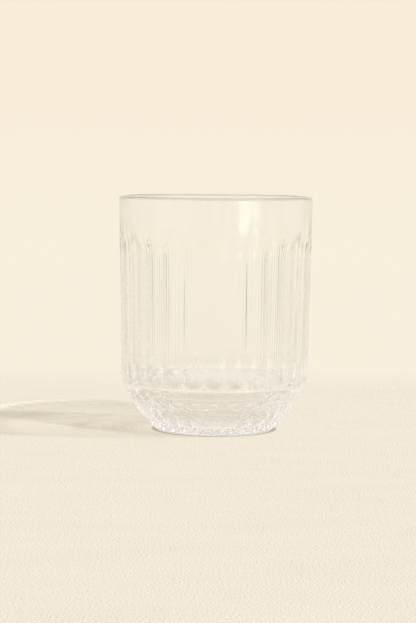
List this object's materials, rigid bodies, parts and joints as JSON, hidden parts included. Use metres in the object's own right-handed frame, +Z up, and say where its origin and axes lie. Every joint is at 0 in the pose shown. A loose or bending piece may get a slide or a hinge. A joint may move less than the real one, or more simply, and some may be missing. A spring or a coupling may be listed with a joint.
{
  "type": "drinking glass",
  "caption": "Clear pressed-glass tumbler with a plain rim band, upright flutes, a belt and a fluted bowl-shaped foot that lets glasses stack; holds a drink.",
  "frame": {"origin": "centre of the standing ring, on the surface that the glass stands on", "axes": "+Z up along the glass's axis, out of its mouth; -Y is the side that faces the picture's camera, with a flute on it"},
  "size_m": [0.0744, 0.0744, 0.09],
  "materials": {
    "clear_glass": "polished, edges softened by fire"
  },
  "bodies": {
    "root": {"tumbler": "clear_glass"}
  },
  "joints": []
}
